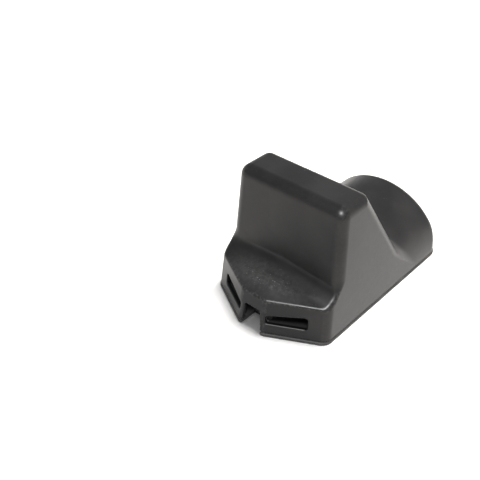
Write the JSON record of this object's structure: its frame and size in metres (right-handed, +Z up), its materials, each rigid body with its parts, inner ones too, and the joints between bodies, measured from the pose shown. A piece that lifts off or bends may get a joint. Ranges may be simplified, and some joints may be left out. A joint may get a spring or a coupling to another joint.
{
  "type": "wheel chock",
  "caption": "Hollow moulded wedge chock with a sloped tyre face, half-round toe, faceted foot with strap slots and an open notch, on a rubber sole.",
  "frame": {"origin": "middle of the footprint on the ground", "axes": "+X from the nose of the foot to the toe that goes under the tyre, +Z up, +Y to the left when looking along +X"},
  "size_m": [0.165, 0.0954, 0.096],
  "materials": {
    "shell_plastic": "satin black moulding, lightly scuffed",
    "plate_plastic": "matt black moulding",
    "sole_rubber": "matt black rubber",
    "screw_steel": "zinc plated"
  },
  "bodies": {
    "root": {"body_shell": "shell_plastic", "base_plate": "plate_plastic", "rubber_sole": "sole_rubber", "base_screws": "screw_steel"}
  },
  "joints": []
}
